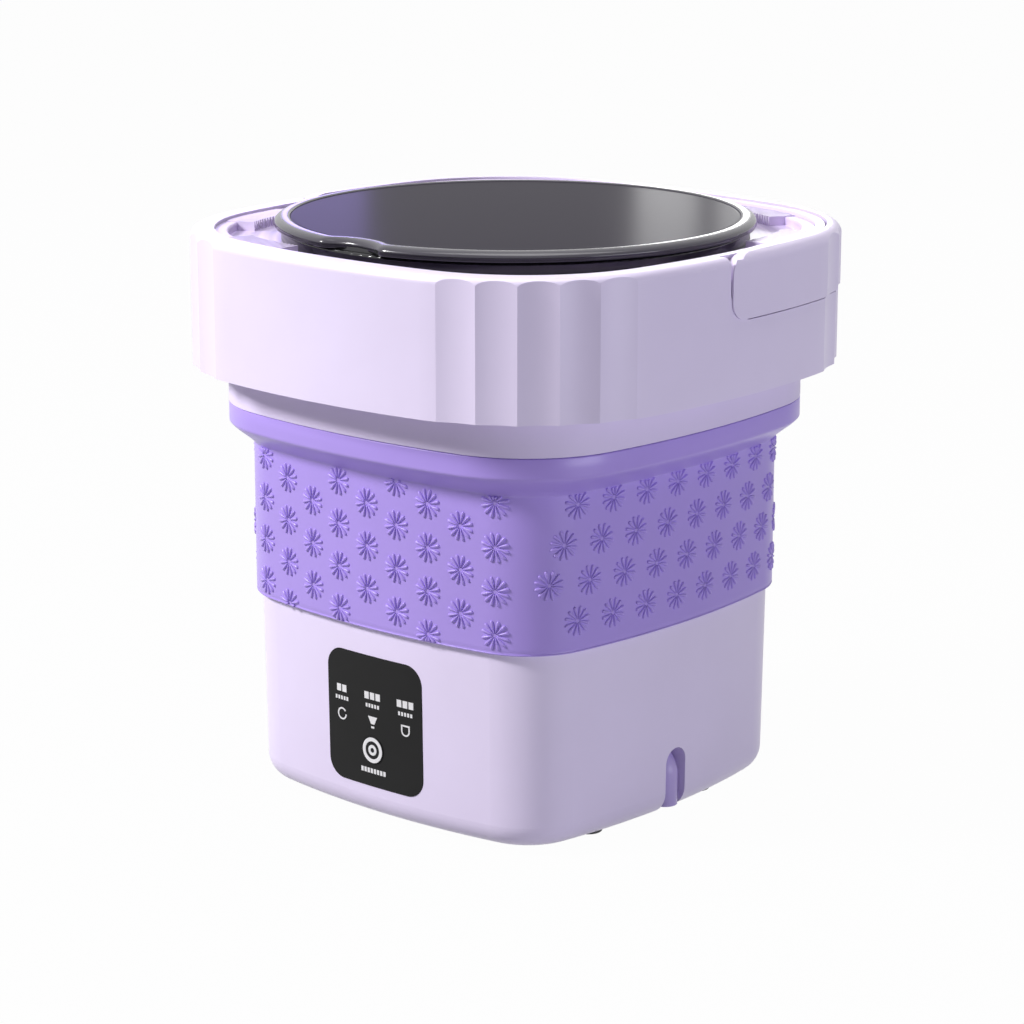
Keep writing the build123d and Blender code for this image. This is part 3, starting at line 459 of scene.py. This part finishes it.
def on_panel(x, z, out):
    """A point on the panel's bowed and leaning face, raised by an amount."""
    half = base_plan.half - BASE_LEAN * (base_high.z - z)
    bow = base_plan.side_r - sqrt(base_plan.side_r**2 - x * x)
    return (x, -(half - bow + PANEL_STANDS + out), z)


def on_button(x, z, out):
    """A point on the button's flat face, raised by an amount."""
    return (x, button_low.y - out, z)


def printed(name, loops, body="base_body", face=on_panel):
    """Thin raised print: each loop is an outline of (x, z) points, filled and given a thickness."""
    points, faces = [], []
    for outline in loops:
        start = len(points)
        count = len(outline)
        points += [face(x, z, PRINT_FOOT) for x, z in outline]
        points += [face(x, z, PRINT_SKIN) for x, z in outline]
        faces.append([start + i for i in range(count)][::-1])
        faces.append([start + count + i for i in range(count)])
        for i in range(count):
            j = (i + 1) % count
            faces.append((start + i, start + j, start + count + j, start + count + i))
    print_piece = piece(name, points, faces, print_mat, smooth=False)
    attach(print_piece, body)


def block(x, z, w, h):
    """A rectangle about (x, z), given in millimetres."""
    corners = ((-1, -1), (1, -1), (1, 1), (-1, 1))
    return [((x + a * w / 2) * MM, (z + b * h / 2) * MM) for a, b in corners]


def blocks(x, z, count, pitch, w, h):
    """A centred row of equal blocks."""
    return [block(x + (i - (count - 1) / 2) * pitch, z, w, h) for i in range(count)]


def band(x, z, r_in, r_out, start=0.0, sweep=tau, steps=40):
    """Quads that follow an arc of a ring about (x, z), given in millimetres."""
    turns = [start + sweep * i / steps for i in range(steps + 1)]
    return [[((x + r * cos(t)) * MM, (z + r * sin(t)) * MM)
             for r, t in ((r_in, a), (r_out, a), (r_out, b), (r_in, b))]
            for a, b in zip(turns, turns[1:])]


# Places and sizes of the print, in millimetres: x from the panel's middle, z from the floor.
COLUMNS = ((-20.5, 2), (0.4, 3), (21.6, 3))     # middle of each column, its number of blocks
BLOCK_ROW, BLOCK_PITCH, BLOCK_SIZE = 65.4, 3.7, (2.9, 3.6)
DASH_ROW, DASH_PITCH, DASH_SIZE = 60.4, 1.9, (1.2, 1.9)
DASHES = 5
ICON_LEFT, ICON_MIDDLE, ICON_RIGHT = -20.5, 0.4, 21.6
LABEL_PLACE, LABEL_COUNT, LABEL_PITCH, LABEL_SIZE = (0.2, 27.2), 8, 2.1, (1.5, 2.4)
BUTTON_PLACE = (0.2, 38.0)

bars = []
for column, count in COLUMNS:
    bars += blocks(column, BLOCK_ROW, count, BLOCK_PITCH, *BLOCK_SIZE)
    bars += blocks(column, DASH_ROW, DASHES, DASH_PITCH, *DASH_SIZE)
printed("panel_bars", bars)
printed("panel_cycle_icon", band(ICON_LEFT, 52.3, 2.3, 3.1, 0.6, tau * 0.9))
cup = [(-0.7, 51.2), (1.5, 51.2), (3.4, 55.0), (-2.6, 55.0)]
printed("panel_cup_icon", [[(x * MM, z * MM) for x, z in cup], block(ICON_MIDDLE, 49.6, 2.0, 1.0)])
shield = band(ICON_RIGHT, 52.0, 1.9, 2.7, pi, pi, 16)
for side in (-2.3, 2.3):
    shield.append(block(ICON_RIGHT + side, 53.4, 0.8, 2.8))
printed("panel_shield_icon", shield + [block(ICON_RIGHT, 54.6, 5.4, 0.8)])
printed("panel_label", blocks(*LABEL_PLACE, LABEL_COUNT, LABEL_PITCH, *LABEL_SIZE))
button_rings = band(*BUTTON_PLACE, 4.5, 6.4, steps=56) + band(*BUTTON_PLACE, 1.2, 2.7)
printed("button_ring", button_rings, "button_body", on_button)


# ---------------------------------------------------------------- deck frame
FRAME_WIDE = 6.5 * MM
FRAME_TOP = rim_high.z - 1.6 * MM
FRAME_POINT_PITCH = 1.5 * MM
# Reach and height of the frame's section, with its inner top edge rounded off.
FRAME_SECTION = (
    (0.0, deck_high.z), (0.0, FRAME_TOP), (1.0 * MM - FRAME_WIDE, FRAME_TOP),
    (0.3 * MM - FRAME_WIDE, FRAME_TOP - 0.3 * MM), (-FRAME_WIDE, FRAME_TOP - 1.0 * MM),
    (-FRAME_WIDE, deck_high.z),
)
RIB_PITCH, RIB_WIDE = 2.9 * MM, 1.2 * MM
RIB_START, RIB_END = 1.0 * MM, 15.5 * MM        # inward from the deck's edge
RIB_FROM, RIB_TO = 40.0 * MM, 86.0 * MM         # from the middle of each side
RIB_TOP = FRAME_TOP + 0.5 * MM


def deck_frame():
    """A raised frame inside the rim, with fine ribs that run inward beside two of its corners."""
    count = 4 * round(deck_plan.length / 4 / FRAME_POINT_PITCH)
    x, y, nx, ny = deck_plan.at(np.arange(count) / count * deck_plan.length)
    rows = []
    for out, height in FRAME_SECTION:
        rows.append(np.stack([x + nx * out, y + ny * out, np.full(count, height)], 1))
    faces = closed_rows(len(rows), count)
    points = [tuple(p) for p in np.concatenate(rows)]
    plain_faces = len(faces)
    for side in range(4):
        hand = -1 if side % 2 == 0 else 1
        for offset in np.arange(RIB_FROM, RIB_TO, RIB_PITCH):
            middle = side * deck_plan.length / 4 + hand * offset
            ends = np.array([middle - RIB_WIDE / 2, middle + RIB_WIDE / 2])
            x, y, nx, ny = deck_plan.at(ends)
            base = len(points)
            for height in (deck_high.z, RIB_TOP):
                for k, reach in ((0, -RIB_START), (1, -RIB_START), (1, -RIB_END), (0, -RIB_END)):
                    points.append((x[k] + nx[k] * reach, y[k] + ny[k] * reach, height))
            faces += [(base + 3, base + 2, base + 1, base), (base + 4, base + 5, base + 6, base + 7)]
            for k in range(4):
                n = (k + 1) % 4
                faces.append((base + k, base + n, base + 4 + n, base + 4 + k))
    ledge = piece("deck_frame", points, faces, deck_mat, smooth=False)
    ledge.data.materials.append(shell)
    marks = [0 if i < plain_faces else 1 for i in range(len(ledge.data.polygons))]
    ledge.data.polygons.foreach_set("material_index", marks)
    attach(ledge, "upper_body")


deck_frame()


# ---------------------------------------------------------------- lid
LID_R = lid_high.x
NOTCH_DEPTH = 7.0 * MM
NOTCH_R = 35.0 * MM
LID_POINTS = 720
CORNER_PASSES = 3               # smoothing passes that round off the notch's corners
LID_FLAT = lid_high.z - 0.55 * MM
FLAT_RINGS = (10 * MM, 60 * MM, 100 * MM)
# Distance in from the edge, and height, of the rows from the flat middle into the bead's groove.
GROOVE_ROWS = [(9.4 * MM, LID_FLAT), (8.6 * MM, LID_FLAT), (8.0 * MM, lid_high.z - 0.75 * MM),
               (7.5 * MM, lid_high.z - 0.45 * MM)]
BEAD_WIDE, BEAD_DROP, BEAD_STEPS = 6.4 * MM, 2.6 * MM, 6
# The same for the rows down the edge and in under the lid.
EDGE_ROWS = [(0.0, lid_high.z - 3.2 * MM), (0.25 * MM, lid_high.z - 3.6 * MM),
             (0.0, lid_high.z - 4.0 * MM), (0.4 * MM, lid_low.z + 0.15 * MM),
             (1.2 * MM, lid_low.z), (20.0 * MM, lid_low.z)]
BEAD_FIRST = len(FLAT_RINGS) + len(GROOVE_ROWS) - 1
EDGE_FIRST = BEAD_FIRST + BEAD_STEPS + 1


def lid_edge(angle):
    """The lid's reach at an angle: round, with a finger notch scooped out at the front."""
    middle = LID_R + NOTCH_R - NOTCH_DEPTH
    c = -middle * sin(angle)
    root = c * c - middle**2 + NOTCH_R**2
    if sin(angle) < 0 and root > 0:
        return min(LID_R, c - sqrt(root))
    return LID_R


def lid_cover():
    """The lid: a flat smoked middle inside a rounded bead, over a polished dark edge."""
    count = LID_POINTS
    angles = tau * np.arange(count) / count - pi / 2
    soft = np.array([lid_edge(angle) for angle in angles])
    for _ in range(CORNER_PASSES):
        soft = np.minimum(soft, (np.roll(soft, 1) + soft + np.roll(soft, -1)) / 3)
    bead_rows = []
    for step in range(BEAD_STEPS + 1):
        turn = pi / 2 * step / BEAD_STEPS
        bead_rows.append((BEAD_WIDE * (1 - sin(turn)), lid_high.z - BEAD_DROP * (1 - cos(turn))))
    section = [(radius, LID_FLAT) for radius in FLAT_RINGS]
    section += [(soft - inside, height) for inside, height in GROOVE_ROWS + bead_rows + EDGE_ROWS]
    rows = []
    for reach, height in section:
        rows.append(np.stack([np.cos(angles) * reach, np.sin(angles) * reach,
                              np.full(count, height)], 1))
    points = np.concatenate(rows)
    total = len(rows)
    faces = []
    for row in range(total - 1):
        for i in range(count):
            j = (i + 1) % count
            faces.append((row * count + i, (row + 1) * count + i, (row + 1) * count + j,
                          row * count + j))
    points = np.concatenate([points, [(0, 0, LID_FLAT), (0, 0, lid_low.z)]])
    for i in range(count):
        j = (i + 1) % count
        faces.append((total * count, i, j))
        faces.append((total * count + 1, (total - 1) * count + j, (total - 1) * count + i))
    cover = piece("lid_cover", points, faces, smoke)
    # the bead's slightly lighter colour paints a faint light line round the lid
    cover.data.materials.append(bead)
    cover.data.materials.append(black)
    marks = [0] * len(cover.data.polygons)
    for row in range(BEAD_FIRST, total - 1):
        for i in range(count):
            marks[row * count + i] = 1 if row < EDGE_FIRST else 2
    cover.data.polygons.foreach_set("material_index", marks)
    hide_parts("lid")
    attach(cover, "lid_body")


lid_cover()


# ---------------------------------------------------------------- stage, lights and camera
FLOOR_HALF = 6.0
FLOOR_HEIGHT = -0.2 * MM
FLOOR_SHADE = 0.98              # share of plain white in the floor; the rest carries the shadow
SKY_STRENGTH = 0.09


def stage_floor():
    """A large flat floor just under the feet."""
    corners = ((-1, -1), (1, -1), (1, 1), (-1, 1))
    points = [(a * FLOOR_HALF, b * FLOOR_HALF, FLOOR_HEIGHT) for a, b in corners]
    floor = piece("floor", points, [(0, 1, 2, 3)], floor_mat(), smooth=False)


def seen_by_eye(tree):
    """One for camera, glossy and transmission rays, nothing for the rays that light the object."""
    rays = tree.nodes.new("ShaderNodeLightPath")
    total = rays.outputs["Is Camera Ray"]
    for name in ("Is Glossy Ray", "Is Transmission Ray"):
        most = tree.nodes.new("ShaderNodeMath")
        most.operation = "MAXIMUM"
        tree.links.new(total, most.inputs[0])
        tree.links.new(rays.outputs[name], most.inputs[1])
        total = most.outputs[0]
    return total


def floor_mat():
    """Pale floor: shows white to the camera and reflections, and keeps a faint shadow."""
    mat, tree, shader = material("floor_white", (0.38, 0.38, 0.40), 0.9)
    shader.inputs["Specular IOR Level"].default_value = 0.0
    glow = tree.nodes.new("ShaderNodeEmission")
    glow.inputs["Color"].default_value = (1, 1, 1, 1)
    mix = tree.nodes.new("ShaderNodeMixShader")
    share = tree.nodes.new("ShaderNodeMath")
    share.operation = "MULTIPLY"
    share.inputs[1].default_value = FLOOR_SHADE
    tree.links.new(seen_by_eye(tree), share.inputs[0])
    tree.links.new(share.outputs[0], mix.inputs["Fac"])
    tree.links.new(shader.outputs["BSDF"], mix.inputs[1])
    tree.links.new(glow.outputs["Emission"], mix.inputs[2])
    tree.links.new(mix.outputs["Shader"], tree.nodes["Material Output"].inputs["Surface"])
    return mat


def world():
    """A dim even light for the object, and a white background."""
    scene_world = bpy.data.worlds.new("studio")
    bpy.context.scene.world = scene_world
    scene_world.use_nodes = True
    tree = scene_world.node_tree
    plain = tree.nodes["Background"]
    plain.inputs["Color"].default_value = (0.93, 0.93, 1.0, 1)
    plain.inputs["Strength"].default_value = SKY_STRENGTH
    white = tree.nodes.new("ShaderNodeBackground")
    white.inputs["Color"].default_value = (1, 1, 1, 1)
    white.inputs["Strength"].default_value = 1.0
    mix = tree.nodes.new("ShaderNodeMixShader")
    tree.links.new(seen_by_eye(tree), mix.inputs["Fac"])
    tree.links.new(plain.outputs["Background"], mix.inputs[1])
    tree.links.new(white.outputs["Background"], mix.inputs[2])
    tree.links.new(mix.outputs["Shader"], tree.nodes["World Output"].inputs["Surface"])


def area_light(name, place, target, size, power, colour=(1, 1, 1)):
    """A rectangular lamp aimed at a target."""
    lamp = bpy.data.lights.new(name, "AREA")
    lamp.shape = "RECTANGLE"
    lamp.size, lamp.size_y = size
    lamp.energy = power
    lamp.color = colour
    thing = bpy.data.objects.new(name, lamp)
    thing.location = place
    thing.rotation_euler = (Vector(target) - Vector(place)).to_track_quat("-Z", "Y").to_euler()
    bpy.context.scene.collection.objects.link(thing)


CAMERA_PLACE = (1.02714, -1.16970, 0.52934)
CAMERA_HEADING = 41.3505        # degrees from +Y towards -X
CAMERA_PITCH = 14.143           # degrees below level
LENS = 112.73
CENTRE = (0, 0, 0.15)


LID_TOP = (0, 0, 0.288)
# Name, place, aim, size, power and colour; the last three are seen only as reflections in the lid.
LIGHTS = (
    ("key", (-1.15, -1.65, 1.6), CENTRE, (0.5, 0.5), 64, (1.0, 0.985, 1.0)),
    ("fill", (2.0, 0.1, 0.25), CENTRE, (1.2, 0.5), 12.8, (0.86, 0.86, 1.0)),
    ("top", (0.0, 0.1, 1.9), CENTRE, (1.2, 1.2), 15),
    ("lid_sweep_wide", (-1.083, 1.681, 0.60), LID_TOP, (0.142, 0.5), 1.2),
    ("lid_sweep_thin", (-1.188, 1.609, 0.60), LID_TOP, (0.069, 0.5), 0.57),
    ("lid_tint", (-1.507, 1.315, 0.60), LID_TOP, (0.20, 0.5), 1.2, (0.42, 0.31, 1.0)),
)


def camera():
    """The camera at the photograph's viewing angle."""
    data = bpy.data.cameras.new("camera")
    data.lens = LENS
    data.sensor_width = 36.0
    thing = bpy.data.objects.new("camera", data)
    thing.location = CAMERA_PLACE
    thing.rotation_euler = (radians(90 - CAMERA_PITCH), 0, radians(CAMERA_HEADING))
    bpy.context.scene.collection.objects.link(thing)
    bpy.context.scene.camera = thing


stage_floor()
world()
for light in LIGHTS:
    area_light(*light)
camera()
bpy.context.scene.view_settings.view_transform = "Standard"
